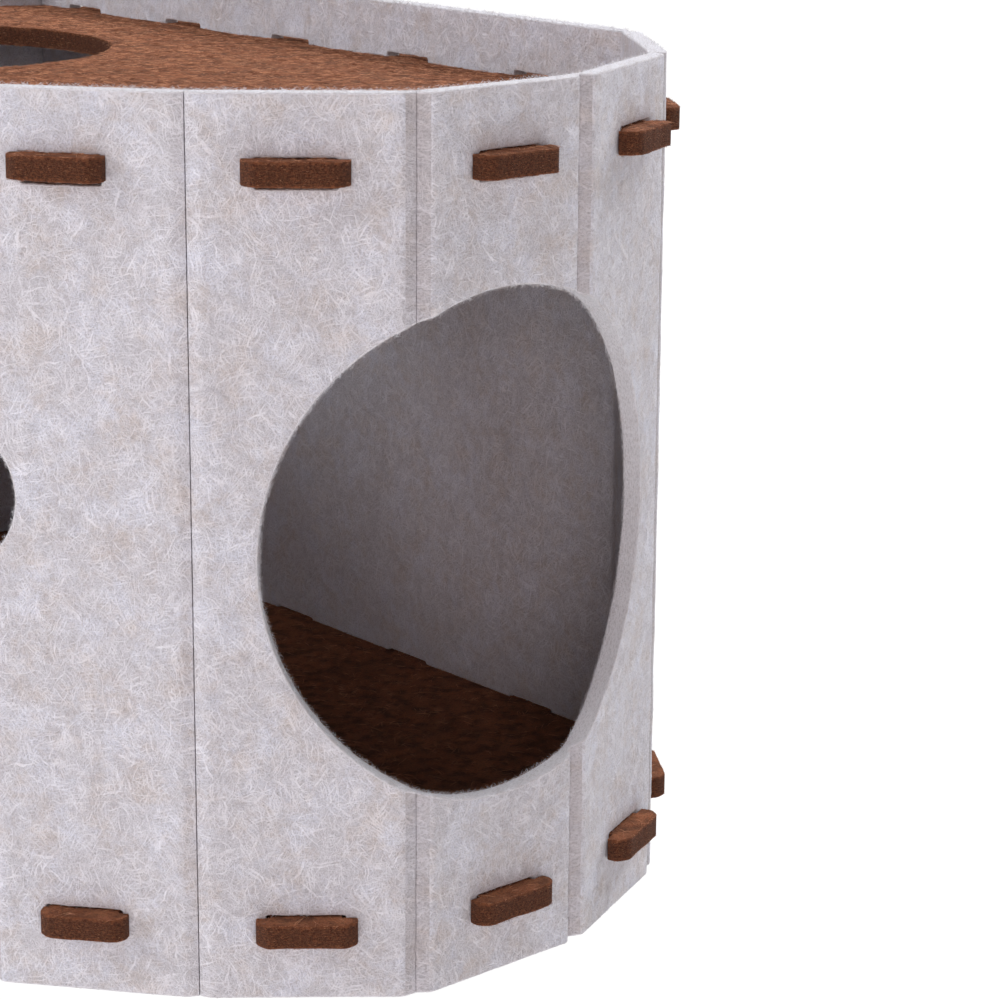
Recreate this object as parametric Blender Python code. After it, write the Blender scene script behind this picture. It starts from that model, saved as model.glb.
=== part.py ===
# Felt cat house, in metres, +Z up.
# A thick felt strip is cut flat, with a door, a peephole and slots, and folded at its grooves into
# a bay with a five-faced front. Two felt boards, a top board with a round hatch and a floor board,
# lock the strip and a flat end panel with hammerhead tabs that pass through the slots.
# +X points to the door end and -Y to the side with the peephole.
import math

import bmesh
import bpy
from mathutils import Vector

# Driving dimensions, in metres, and angles in degrees
HOUSE_LENGTH = 0.512             # outside, from the door face to the end panel
WALL_HEIGHT = 0.300
WALL_THICKNESS = 0.0065          # light felt of the strip and the end panel
BOARD_THICKNESS = 0.007          # brown felt of both boards
FACET_WIDTH = 0.0732             # each of the five faces of the door end
CREASE_TURNS = (40.0, 12.5, 41.0, 23.4, 29.6)   # the sixth crease takes the rest of a half turn
GROOVE_HALF_WIDTH = 0.0036       # V groove on the outside of each crease, before folding
GROOVE_DEPTH = 0.0043
RIM_OVER_TOP_BOARD = 0.0212      # the walls' upper edge above the middle of the top board
TOP_BOARD_HEIGHT = WALL_HEIGHT - RIM_OVER_TOP_BOARD   # its upper face above the ground
TOP_BOARD_RISE = 0.0007          # it leans in its slots, higher at the peephole side by this much
FLOOR_BOARD_HEIGHT = 0.0282      # its upper face above the ground
DOOR_DIAMETER = 0.172            # cut in the flat strip, across three faces
DOOR_CENTRE_HEIGHT = 0.149
DOOR_PAST_MIDDLE = 0.001         # from the middle of the middle face to its centre, along the strip
PEEPHOLE_DIAMETER = 0.051
PEEPHOLE_CENTRE_HEIGHT = 0.168
PEEPHOLE_BEFORE_CREASE = 0.0125  # from its centre to the first crease, along the flat strip
HATCH_DIAMETER = 0.180
HATCH_FROM_END = 0.133           # from its centre to the outside of the end panel
HATCH_TO_FRONT = 0.014           # from the centre line to its centre, towards the peephole side
TAB_NECK_WIDTH = 0.024
TAB_HEAD_WIDTH = 0.0343
TAB_HEAD_DEPTH = 0.0076
TAB_HEAD_CHAMFER = 0.0035
TOP_FACET_TAB_SHIFTS = (-0.0032, -0.0021, 0.0014, 0.0048, 0.0)     # from the middles of the faces
FLOOR_FACET_TAB_SHIFTS = (-0.0022, -0.0009, 0.0024, 0.0056, 0.0)
SIDE_TAB_START = 0.050           # first side tab, from the crease
SIDE_TAB_PITCH = 0.080
END_TAB_PITCH = 0.080
TAB_TO_CORNER = 0.012            # least felt between a tab's head and a square corner's inside
ROUND_STEPS = 72                 # sides of a round hole

# Clearances between the pieces
SEAT_GAP = 0.0004                # board edge to wall, and end panel to the strip
HEAD_PLAY = 0.0005               # wall to the back of a tab's head
SLOT_END_PLAY = 0.0013           # at each end of a tab's neck
SLOT_OVER_BOARD = 0.0011         # slot above the board
SLOT_UNDER_BOARD = 0.0021        # slot below the board
FOLD_MARGIN = 0.0005             # flat felt left between a groove and where the inside starts to crowd

turns = [math.radians(90)] + [math.radians(turn) for turn in CREASE_TURNS]
turns += [math.pi - sum(turns[1:]), math.radians(90)]
headings = [sum(turns[1:i + 1]) for i in range(len(turns))]
facet_count = len(CREASE_TURNS)


# Plan of the outside, as straight stretches run counter-clockwise from the end panel's corner
class Stretch:
    def __init__(self, start, heading, turn, length, top_tabs, floor_tabs):
        self.start = start       # outer corner where the stretch begins
        self.along = Vector((math.cos(heading), math.sin(heading)))
        self.out = Vector((math.sin(heading), -math.cos(heading)))
        self.turn = turn         # turn made at its start
        self.length = length
        self.top_tabs = top_tabs         # distances from the start to the tabs' centres
        self.floor_tabs = floor_tabs

    def point(self, distance, outwards):
        return self.start + self.along * distance + self.out * outwards

    def corner(self, depth):
        # the start corner of the outline that lies this deep inside the outer one
        return self.point(depth * math.tan(self.turn / 2), -depth)


def side_tabs(length):
    reach = TAB_HEAD_WIDTH / 2 + TAB_TO_CORNER + WALL_THICKNESS
    count = int((length - SIDE_TAB_START - reach) / SIDE_TAB_PITCH) + 1
    return [SIDE_TAB_START + SIDE_TAB_PITCH * i for i in range(count)]


def end_tabs(length):
    reach = TAB_HEAD_WIDTH / 2 + TAB_TO_CORNER + WALL_THICKNESS
    count = int((length - 2 * reach) / END_TAB_PITCH) + 1
    first = length / 2 - END_TAB_PITCH * (count - 1) / 2
    return [first + END_TAB_PITCH * i for i in range(count)]


def plan_stretches():
    steps = [Vector((math.cos(heading), math.sin(heading))) * FACET_WIDTH
             for heading in headings[1:facet_count + 1]]
    width = sum(step.y for step in steps)
    corner = Vector((0.0, -width / 2))
    corners = [corner]
    for step in steps:
        corner = corner + step
        corners.append(corner)
    end_x = max(point.x for point in corners) - HOUSE_LENGTH
    front_length = corners[0].x - end_x
    back_length = corners[-1].x - end_x
    front_tabs = [front_length - distance for distance in reversed(side_tabs(front_length))]
    stretches = [Stretch(Vector((end_x, -width / 2)), headings[0], turns[0], front_length,
                         front_tabs, front_tabs)]
    for i in range(facet_count):
        top_tab = FACET_WIDTH / 2 + TOP_FACET_TAB_SHIFTS[i]
        floor_tab = FACET_WIDTH / 2 + FLOOR_FACET_TAB_SHIFTS[i]
        stretches.append(Stretch(corners[i], headings[i + 1], turns[i + 1], FACET_WIDTH,
                                 [top_tab], [floor_tab]))
    back_tabs = side_tabs(back_length)
    back = Stretch(corners[-1], headings[-2], turns[-2], back_length, back_tabs, back_tabs)
    panel_tabs = end_tabs(width)
    end = Stretch(Vector((end_x, width / 2)), headings[-1], turns[-1], width, panel_tabs, panel_tabs)
    return stretches + [back, end]


stretches = plan_stretches()
strip_stretches = stretches[:-1]
end_stretch = stretches[-1]


# The boards' outline: the inside of the wall, with a hammerhead tab wherever there is a slot
def tab_points(stretch, centre):
    neck = TAB_NECK_WIDTH / 2
    head = TAB_HEAD_WIDTH / 2
    edge = -WALL_THICKNESS - SEAT_GAP
    tip = HEAD_PLAY + TAB_HEAD_DEPTH
    half = [(neck, edge), (neck, HEAD_PLAY), (head, HEAD_PLAY), (head, tip - TAB_HEAD_CHAMFER),
            (head - TAB_HEAD_CHAMFER, tip)]
    run = [(-across, outwards) for across, outwards in half] + half[::-1]
    return [stretch.point(centre + across, outwards) for across, outwards in run]


def board_outline(on_top):
    points = []
    for stretch in stretches:
        points.append(stretch.corner(WALL_THICKNESS + SEAT_GAP))
        for centre in stretch.top_tabs if on_top else stretch.floor_tabs:
            points += tab_points(stretch, centre)
    return points


# The origin is under the middle of the whole house, tabs included
outlines = board_outline(True) + board_outline(False)
outer_corners = [stretch.start for stretch in stretches]
furthest_x = [point.x for point in outlines + outer_corners]
middle_x = (min(furthest_x) + max(furthest_x)) / 2
for stretch in stretches:
    stretch.start = stretch.start - Vector((middle_x, 0.0))
end_face_x = end_stretch.start.x


# The strip before folding. The felt left under a groove bends about its own middle, so a crease
# takes up some of the outside's length on each side of it, and none at the strip's free ends.
bend_depth = (GROOVE_DEPTH + WALL_THICKNESS) / 2


def taken_up(crease):
    free_end = crease in (0, len(strip_stretches))
    return 0.0 if free_end else bend_depth * math.tan(turns[crease] / 2)


flat_lengths = [stretch.length - taken_up(i) - taken_up(i + 1)
                for i, stretch in enumerate(strip_stretches)]
flat_starts = [sum(flat_lengths[:i]) for i in range(len(flat_lengths))]


# Flat outlines, as 2D curves with their holes, given thickness by their extrude
def circle_points(centre_x, centre_y, diameter):
    angles = [2 * math.pi * i / ROUND_STEPS for i in range(ROUND_STEPS)]
    radius = diameter / 2
    return [(centre_x + radius * math.cos(a), centre_y + radius * math.sin(a)) for a in angles]


def rectangle_points(low_x, high_x, low_y, high_y):
    return [(low_x, low_y), (high_x, low_y), (high_x, high_y), (low_x, high_y)]


def flat_piece(name, outlines, thickness, collection):
    curve = bpy.data.curves.new(name, "CURVE")
    curve.dimensions = "2D"
    curve.fill_mode = "BOTH"
    curve.extrude = thickness / 2
    for points in outlines:
        spline = curve.splines.new("POLY")
        spline.points.add(len(points) - 1)
        for point, (x, y) in zip(spline.points, points):
            point.co = (x, y, 0.0, 1.0)
        spline.use_cyclic_u = True
    piece = bpy.data.objects.new(name, curve)
    collection.objects.link(piece)
    return piece


def as_mesh(piece, collection):
    bpy.context.view_layer.update()
    evaluated = piece.evaluated_get(bpy.context.evaluated_depsgraph_get())
    mesh = bpy.data.meshes.new_from_object(evaluated)
    name = piece.name
    solid = bpy.data.objects.new(name + "_solid", mesh)
    solid.matrix_world = piece.matrix_world
    collection.objects.link(solid)
    bpy.data.objects.remove(piece)
    solid.name = name
    return solid


def felt(name, colour, roughness):
    material = bpy.data.materials.new(name)
    material.use_nodes = True
    shader = material.node_tree.nodes["Principled BSDF"]
    shader.inputs["Base Color"].default_value = (*colour, 1.0)
    shader.inputs["Roughness"].default_value = roughness
    shader.inputs["Metallic"].default_value = 0.0
    return material


# Slots: one for each tab, at the height of each board
def slots_at(centres, board_height):
    half = TAB_NECK_WIDTH / 2 + SLOT_END_PLAY
    low = board_height - BOARD_THICKNESS - SLOT_UNDER_BOARD
    high = board_height + SLOT_OVER_BOARD
    return [rectangle_points(centre - half, centre + half, low, high) for centre in centres]


# The strip, cut flat with X along it and Y up it, then folded
def strip_outlines():
    middle_face = (facet_count + 1) // 2
    door_centre = flat_starts[middle_face] + flat_lengths[middle_face] / 2 + DOOR_PAST_MIDDLE
    peephole_centre = flat_starts[1] - PEEPHOLE_BEFORE_CREASE
    corners = [flat_starts[i] - taken_up(i) for i in range(len(strip_stretches))]
    top_centres = [corner + tab for corner, stretch in zip(corners, strip_stretches)
                   for tab in stretch.top_tabs]
    floor_centres = [corner + tab for corner, stretch in zip(corners, strip_stretches)
                     for tab in stretch.floor_tabs]
    return [rectangle_points(0.0, sum(flat_lengths), 0.0, WALL_HEIGHT),
            circle_points(door_centre, DOOR_CENTRE_HEIGHT, DOOR_DIAMETER),
            circle_points(peephole_centre, PEEPHOLE_CENTRE_HEIGHT, PEEPHOLE_DIAMETER),
            *slots_at(top_centres, TOP_BOARD_HEIGHT), *slots_at(floor_centres, FLOOR_BOARD_HEIGHT)]


def crowded_half_width():
    # how far from a crease the inside of the felt is squeezed as it folds
    sharpest = max(turns[1:-1])
    squeezed = (WALL_THICKNESS - bend_depth) * math.tan(sharpest / 2)
    return max(GROOVE_HALF_WIDTH, squeezed) + FOLD_MARGIN


def folded_point(distance, outside):
    # each stretch keeps its felt square to its face, apart from a narrow band at each crease: there
    # the outside dips into the groove and the inside closes up to the inner corner
    index = max(i for i, start in enumerate(flat_starts) if distance >= start - 1e-6)
    stretch = strip_stretches[index]
    from_start = distance - flat_starts[index]
    at_start = from_start < flat_lengths[index] / 2
    crease = index if at_start else index + 1
    from_crease = from_start if at_start else flat_lengths[index] - from_start
    from_corner = from_crease + taken_up(crease)
    depth = 0.0 if outside else WALL_THICKNESS
    band = GROOVE_HALF_WIDTH if outside else crowded_half_width()
    if from_crease < band and taken_up(crease) > 0.0:
        share = from_crease / band
        corner_depth = GROOVE_DEPTH if outside else WALL_THICKNESS
        at_corner = corner_depth * math.tan(turns[crease] / 2)
        from_corner = at_corner * (1 - share) + (band + taken_up(crease)) * share
        depth = GROOVE_DEPTH * (1 - share) if outside else WALL_THICKNESS
    return stretch.point(from_corner if at_start else stretch.length - from_corner, -depth)


def fold_strip(strip):
    work = bmesh.new()
    work.from_mesh(strip.data)
    bmesh.ops.remove_doubles(work, verts=work.verts, dist=1e-6)
    band = crowded_half_width()
    for crease in flat_starts[1:]:
        for offset in (-band, -GROOVE_HALF_WIDTH, 0.0, GROOVE_HALF_WIDTH, band):
            everything = work.verts[:] + work.edges[:] + work.faces[:]
            bmesh.ops.bisect_plane(work, geom=everything, dist=1e-7,
                                   plane_co=(crease + offset, 0.0, 0.0), plane_no=(1.0, 0.0, 0.0))
    for vertex in work.verts:
        plan = folded_point(vertex.co.x, vertex.co.z > 0.0)
        vertex.co = (plan.x, plan.y, vertex.co.y)
    bmesh.ops.recalc_face_normals(work, faces=work.faces)
    work.to_mesh(strip.data)
    work.free()
    strip.data.shade_smooth()
    strip.data.set_sharp_from_angle(angle=math.radians(25))


def make_wall(collection):
    flat = flat_piece("wall_strip", strip_outlines(), WALL_THICKNESS, collection)
    strip = as_mesh(flat, collection)
    fold_strip(strip)
    strip.data.materials.clear()
    strip.data.materials.append(felt("light_felt_strip", (0.62, 0.58, 0.60), 0.95))
    return strip


def make_end_panel(collection):
    # stands between the two sides, drawn as seen from outside
    margin = WALL_THICKNESS + SEAT_GAP
    outlines = [rectangle_points(margin, end_stretch.length - margin, 0.0, WALL_HEIGHT),
                *slots_at(end_stretch.top_tabs, TOP_BOARD_HEIGHT),
                *slots_at(end_stretch.floor_tabs, FLOOR_BOARD_HEIGHT)]
    panel = flat_piece("end_panel", outlines, WALL_THICKNESS, collection)
    panel.location = (end_face_x + WALL_THICKNESS / 2, end_stretch.start.y, 0.0)
    panel.rotation_euler = (math.radians(90), 0.0, math.radians(-90))
    panel.data.materials.append(felt("light_felt_end", (0.62, 0.58, 0.60), 0.95))
    return panel


def make_board(name, outline, holes, top_height, collection):
    points = [(point.x, point.y) for point in outline]
    board = flat_piece(name, [points] + holes, BOARD_THICKNESS, collection)
    board.location = (0.0, 0.0, top_height - BOARD_THICKNESS / 2)
    board.data.materials.append(felt("brown_felt_" + name, (0.20, 0.075, 0.032), 0.95))
    return board


def lean_in_slots(board, rise):
    half_width = end_stretch.length / 2
    board.rotation_euler = (-math.atan(rise / half_width), 0.0, 0.0)


def make_house():
    for item in list(bpy.data.objects):
        bpy.data.objects.remove(item)
    house = bpy.data.collections.new("felt_cat_house")
    bpy.context.scene.collection.children.link(house)
    hatch = circle_points(end_face_x + HATCH_FROM_END, -HATCH_TO_FRONT, HATCH_DIAMETER)
    make_wall(house)
    make_end_panel(house)
    top_board = make_board("top_board", board_outline(True), [hatch], TOP_BOARD_HEIGHT, house)
    lean_in_slots(top_board, TOP_BOARD_RISE)
    make_board("floor_board", board_outline(False), [], FLOOR_BOARD_HEIGHT, house)


make_house()
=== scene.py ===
# Felt cat house: the looks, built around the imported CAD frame.
# Metres, +Z up, +X to the door end, -Y to the side with the peephole.
import math

import bpy
import numpy as np
from mathutils import Matrix, Vector
from mathutils.geometry import delaunay_2d_cdt


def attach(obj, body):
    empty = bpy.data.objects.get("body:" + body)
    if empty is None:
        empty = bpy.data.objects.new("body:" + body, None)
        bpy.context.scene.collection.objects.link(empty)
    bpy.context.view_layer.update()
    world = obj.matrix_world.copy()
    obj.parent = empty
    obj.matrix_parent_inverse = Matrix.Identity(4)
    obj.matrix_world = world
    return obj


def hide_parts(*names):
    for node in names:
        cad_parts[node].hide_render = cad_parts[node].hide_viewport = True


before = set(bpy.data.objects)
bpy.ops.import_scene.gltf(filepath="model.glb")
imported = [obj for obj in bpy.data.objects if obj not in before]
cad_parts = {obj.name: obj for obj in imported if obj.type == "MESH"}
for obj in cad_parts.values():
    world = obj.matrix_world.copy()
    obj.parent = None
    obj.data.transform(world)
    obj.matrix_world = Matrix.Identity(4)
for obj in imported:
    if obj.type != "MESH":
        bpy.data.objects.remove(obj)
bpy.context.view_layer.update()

mm = 0.001
pairsAtOnce = 4_000_000          # points against sides, compared in one go
trianglesAPiece = 190_000        # loose fibres are shared out over pieces of at most about this many

# The camera, from a fit to the photo: its heading, its dip and its roll in degrees
view = dict(position=(1.002882, -0.622627, 0.417449), heading=140.33614, down=14.57805, roll=0.46885,
            lens=110.860, sensor=36.0, clip=(0.05, 60.0))


def makeCamera():
    # forward from the heading and the dip, right level with the ground, then a small roll about forward
    heading, down, roll = (math.radians(view[k]) for k in ("heading", "down", "roll"))
    forward = Vector((math.cos(heading) * math.cos(down), math.sin(heading) * math.cos(down),
                      -math.sin(down)))
    right = Vector((math.sin(heading), -math.cos(heading), 0.0))
    below = forward.cross(right)
    side = math.cos(roll) * right - math.sin(roll) * below
    up = -(math.sin(roll) * right + math.cos(roll) * below)
    camera = bpy.data.cameras.new("camera")
    camera.lens, camera.sensor_width = view["lens"], view["sensor"]
    camera.clip_start, camera.clip_end = view["clip"]
    holder = bpy.data.objects.new("camera", camera)
    bpy.context.collection.objects.link(holder)
    place = Matrix((side, up, -forward)).transposed().to_4x4()
    place.translation = Vector(view["position"])
    holder.matrix_world = place
    bpy.context.scene.camera = holder


# The studio: a glowing white floor without shadows, as in the photo, and four square lights, each with its
# place, its side, its power and its colour
studio = dict(world=0.10, floorHalf=14.0, floorColour=(0.02, 0.02, 0.02), floorRoughness=0.9,
              floorGlow=1.01, aim=(0.0, 0.0, 0.15),
              lights=dict(key=((-0.906, -2.49, 1.56), 1.4, 49.0, (0.98, 1.0, 1.03)),
                          side=((-0.41, 2.34, 2.29), 2.0, 123.0, (1.0, 1.0, 1.0)),
                          top=((0.0, -0.4, 3.15), 1.6, 36.0, (0.97, 1.0, 1.04)),
                          lens=((1.72, -1.15, 0.42), 0.8, 14.0, (1.0, 0.86, 0.84))))


def areaLight(name, place, size, power, colour):
    light = bpy.data.lights.new(name, "AREA")
    light.shape, light.size, light.energy, light.color = "SQUARE", size, power, colour
    holder = bpy.data.objects.new(name, light)
    holder.location = place
    holder.rotation_euler = (Vector(studio["aim"]) - Vector(place)).to_track_quat("-Z", "Y").to_euler()
    bpy.context.collection.objects.link(holder)


def makeStudio():
    scene = bpy.context.scene
    scene.view_settings.view_transform = "Standard"
    world = bpy.data.worlds.new("studio")
    world.use_nodes = True
    sky = world.node_tree.nodes["Background"]
    sky.inputs["Color"].default_value = (1.0, 1.0, 1.0, 1.0)
    sky.inputs["Strength"].default_value = studio["world"]
    scene.world = world
    for name, light in studio["lights"].items():
        areaLight(name, *light)
    half = studio["floorHalf"]
    mesh = bpy.data.meshes.new("floor")
    corners = [(-half, -half, 0), (half, -half, 0), (half, half, 0), (-half, half, 0)]
    mesh.from_pydata(corners, [], [(0, 1, 2, 3)])
    floor = bpy.data.objects.new("floor", mesh)
    bpy.context.collection.objects.link(floor)
    paper = bpy.data.materials.new("floorPaper")
    paper.use_nodes = True
    shader = paper.node_tree.nodes["Principled BSDF"]
    shader.inputs["Base Color"].default_value = (*studio["floorColour"], 1.0)
    shader.inputs["Roughness"].default_value = studio["floorRoughness"]
    shader.inputs["Emission Color"].default_value = (1.0, 1.0, 1.0, 1.0)
    shader.inputs["Emission Strength"].default_value = studio["floorGlow"]
    mesh.materials.append(paper)


makeCamera()
makeStudio()
print("camera and studio are set")


# Plan of the walls, with the CAD part's own sizes in metres
house = dict(length=0.512, wallHeight=0.300, wallThick=0.0065, boardThick=0.007, faceWidth=0.0732,
             creaseTurns=(40.0, 12.5, 41.0, 23.4, 29.6), grooveHalf=0.0036, grooveDepth=0.0043,
             topBoard=0.2788, topRise=0.0007, floorBoard=0.0282, seatGap=0.0004)
door = dict(diameter=0.172, height=0.149, pastMiddle=0.001, spacing=2.0 * mm)
peephole = dict(diameter=0.051, height=0.168, beforeCrease=0.0125, spacing=1.8 * mm)
hatch = dict(diameter=0.180, fromEnd=0.133, toFront=0.014, spacing=2.0 * mm)
tab = dict(neck=0.024, head=0.0343, depth=0.0076, chamfer=0.0035, play=0.0005,
           topShifts=(-0.0032, -0.0021, 0.0014, 0.0048, 0.0),
           floorShifts=(-0.0022, -0.0009, 0.0024, 0.0056, 0.0),
           sideStart=0.050, sidePitch=0.080, endPitch=0.080, toCorner=0.012)
slot = dict(endPlay=0.0013, over=0.0010, under=0.0019, corner=1.2 * mm, spacing=1.3 * mm,
            unsteady=0.07 * mm)


def planWalls():
    # the outside corners, counter-clockwise from the end panel: each stretch starts at a corner and runs
    # along its heading, and a tab's centre is a distance from that start
    turns = np.radians([90.0, *house["creaseTurns"], 180.0 - sum(house["creaseTurns"]), 90.0])
    headings = np.concatenate(([0.0], np.cumsum(turns[1:])))
    along = np.stack((np.cos(headings), np.sin(headings)), axis=1)
    steps = along[1:6] * house["faceWidth"]
    width = steps[:, 1].sum()
    corners = np.vstack(([0.0, -width / 2], [0.0, -width / 2] + np.cumsum(steps, axis=0)))
    endX = corners[:, 0].max() - house["length"]
    frontLength, backLength = corners[0, 0] - endX, corners[-1, 0] - endX
    starts = np.vstack(([endX, -width / 2], corners, [endX, width / 2]))
    lengths = np.array([frontLength, *[house["faceWidth"]] * 5, backLength, width])
    reach = tab["head"] / 2 + tab["toCorner"] + house["wallThick"]
    start, pitch = tab["sideStart"], tab["sidePitch"]
    sides = [start + pitch * np.arange(int((length - start - reach) / pitch) + 1)
             for length in (frontLength, backLength)]
    ends = int((width - 2 * reach) / tab["endPitch"]) + 1
    endTabs = width / 2 + tab["endPitch"] * (np.arange(ends) - (ends - 1) / 2)
    topTabs, floorTabs = ([np.sort(frontLength - sides[0]),
                           *(np.array([house["faceWidth"] / 2 + shift]) for shift in shifts),
                           sides[1], endTabs] for shifts in (tab["topShifts"], tab["floorShifts"]))
    reachOut = tab["play"] + tab["depth"]
    out = np.stack((along[:, 1], -along[:, 0]), axis=1)
    half, chamfer = tab["head"] / 2, tab["chamfer"]
    headCorners = ((-half, reachOut - chamfer), (half, reachOut - chamfer),
                   (-half + chamfer, reachOut), (half - chamfer, reachOut))
    farX = [endX - reachOut, starts[:, 0].max()]    # the house is centred with its tab heads
    for k in range(8):
        for centre in (*topTabs[k], *floorTabs[k]):
            farX += [(starts[k] + along[k] * (centre + across) + out[k] * outwards)[0]
                     for across, outwards in headCorners]
    starts[:, 0] -= (min(farX) + max(farX)) / 2
    return dict(turns=turns, along=along, out=out, starts=starts, lengths=lengths,
                topTabs=topTabs, floorTabs=floorTabs)


plan = planWalls()
bendDepth = (house["grooveDepth"] + house["wallThick"]) / 2
halfTurns = np.tan(plan["turns"] / 2)
takenUp = bendDepth * halfTurns
takenUp[[0, 7]] = 0.0                       # the strip's free ends take up nothing
flatLengths = plan["lengths"][:7] - takenUp[:7] - takenUp[1:8]
flatStarts = np.concatenate(([0.0], np.cumsum(flatLengths)))
stripLength = flatStarts[7]


# Folding flat felt into place. The slit's half width in mm and how far the groove still stands open are given
# for each crease, after an empty place for the strip's first end
groove = dict(slitHalf=(0.0, 0.04, 0.20, 0.14, 0.14, 0.14, 0.14), slitTo=0.15 * mm, slitDepth=0.3 * mm,
              openShare=(0.0, 0.8, 0.40, 0.8, 1.0, 0.9, 0.9), shoulder=1.0 * mm, steps=12,
              innerRound=3.0 * mm, innerFill=0.35 * mm, crowd=4.1 * mm)


def outsideOfFold(crease, u):
    # distance from the crease in the flat felt, to distance from the corner along the face, and depth
    # under the face: a slit along the corner's bisector, a straight flank, a soft shoulder and the face. The
    # felt has swollen since it was cut, so the open part is shallower than the slit
    half, deep, reach = house["grooveHalf"], house["grooveDepth"], house["grooveHalf"] + takenUp[crease]
    wide = reach + groove["shoulder"]
    t = np.linspace(0.0, 1.0, groove["steps"])
    slit = groove["slitHalf"][crease] * mm
    across = slit + (wide - slit) * t
    flank = np.clip(1 - across / reach, 0.0, 1.0)
    soft = np.clip((wide - across) / (2 * groove["shoulder"]), 0.0, 1.0)
    flank = np.where(soft < 1, soft ** 2 * groove["shoulder"] / reach, flank)
    depthLine = deep * groove["openShare"][crease] * flank
    knotU = np.concatenate(([0.0], groove["slitTo"] + (half + groove["shoulder"] - groove["slitTo"]) * t))
    acrossLine = np.concatenate(([0.0], across))
    depthLine = np.concatenate(([deep + groove["slitDepth"]], depthLine))
    depthHere = np.interp(u, knotU, depthLine)
    acrossHere = np.where(u > knotU[-1], u + takenUp[crease], np.interp(u, knotU, acrossLine))
    return acrossHere + depthHere * halfTurns[crease], depthHere


def insideOfFold(crease, u):
    # the inside closes up evenly to the inner corner, which the crowded felt fills a little
    thick = house["wallThick"]
    share = np.clip(u / groove["crowd"], 0.0, 1.0)
    fromCorner = thick * halfTurns[crease] * (1 - share) + (groove["crowd"] + takenUp[crease]) * share
    fromCorner = np.where(u > groove["crowd"], u + takenUp[crease], fromCorner)
    fill = groove["innerFill"] * np.clip(1 - u / groove["innerRound"], 0.0, 1.0) ** 2
    return fromCorner, thick + fill


def foldStrip(flat, share, lift=0.0):
    # flat is (along the strip, up), share goes from 0 on the outside to 1 on the inside, and lift moves a
    # point straight out of the felt: the point lies on the line between its outside and its inside
    s = flat[:, 0]
    index = np.clip(np.searchsorted(flatStarts[:7], s + 1e-7, side="right") - 1, 0, 6)
    fromStart = s - flatStarts[index]
    atStart = fromStart < flatLengths[index] / 2
    crease = np.where(atStart, index, index + 1)
    u = np.where(atStart, fromStart, flatLengths[index] - fromStart)
    outer, outerDepth = u.copy(), np.zeros_like(u)
    inner, innerDepth = u.copy(), np.full_like(u, house["wallThick"])
    for k in range(1, 7):
        here = crease == k
        outer[here], outerDepth[here] = outsideOfFold(k, u[here])
        inner[here], innerDepth[here] = insideOfFold(k, u[here])
    start, along, out = plan["starts"][index], plan["along"][index], plan["out"][index]
    length = plan["lengths"][index]

    def place(fromCorner, depth):
        distance = np.where(atStart, fromCorner, length - fromCorner)
        return start + along * distance[:, None] - out * depth[:, None]

    outsidePoint, insidePoint = place(outer, outerDepth), place(inner, innerDepth)
    normal = outsidePoint - insidePoint
    normal /= np.linalg.norm(normal, axis=1)[:, None]
    share, lift = np.broadcast_to(share, s.shape), np.broadcast_to(lift, s.shape)
    point = outsidePoint * (1 - share)[:, None] + insidePoint * share[:, None] + normal * lift[:, None]
    return np.column_stack((point, flat[:, 1]))


def standEnd(flat, share, lift=0.0):
    # the flat end panel, drawn as (along the end stretch, up), square behind the end face
    depth = np.broadcast_to(share, len(flat)) * house["wallThick"] - lift
    point = plan["starts"][7] + plan["along"][7] * flat[:, :1] - plan["out"][7] * depth[:, None]
    return np.column_stack((point, flat[:, 1]))


# The boards' felt has swollen on both faces, and the top board's far edge has dropped and sags
settled = dict(swell=0.5 * mm, drop=0.4 * mm, sag=0.7 * mm, sagReach=60.0 * mm)


def layBoard(topHeight, rise):
    # a board's flat drawing is already its plan: it gets its height, and leans about X through its
    # middle. Along the far side of a leaning board the edge also hangs down between its tabs, as the
    # square of a sine between one tab and the next
    lean = -math.atan(rise / (plan["lengths"][7] / 2))
    farTabs = plan["starts"][6][0] + plan["along"][6][0] * plan["topTabs"][6]
    half, width = house["boardThick"] / 2 + settled["swell"], plan["lengths"][7] / 2

    def place(flat, share, lift=0.0):
        up = half * (1 - 2 * np.broadcast_to(share, len(flat))) + lift
        y = flat[:, 1] * math.cos(lean) - up * math.sin(lean)
        z = flat[:, 1] * math.sin(lean) + up * math.cos(lean) + topHeight - house["boardThick"] / 2
        if rise:
            near = np.clip((flat[:, 1] - width + settled["sagReach"]) / settled["sagReach"], 0.0, 1.0) ** 2
            between = np.sin(np.pi * (flat[:, 0] - farTabs[0]) / tab["sidePitch"]) ** 2
            inTab = flat[:, 1] >= width - house["wallThick"]
            z -= np.where(inTab, settled["drop"], near * (settled["drop"] + settled["sag"] * between))
        return np.column_stack((flat[:, 0], y, z))
    return place


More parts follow.
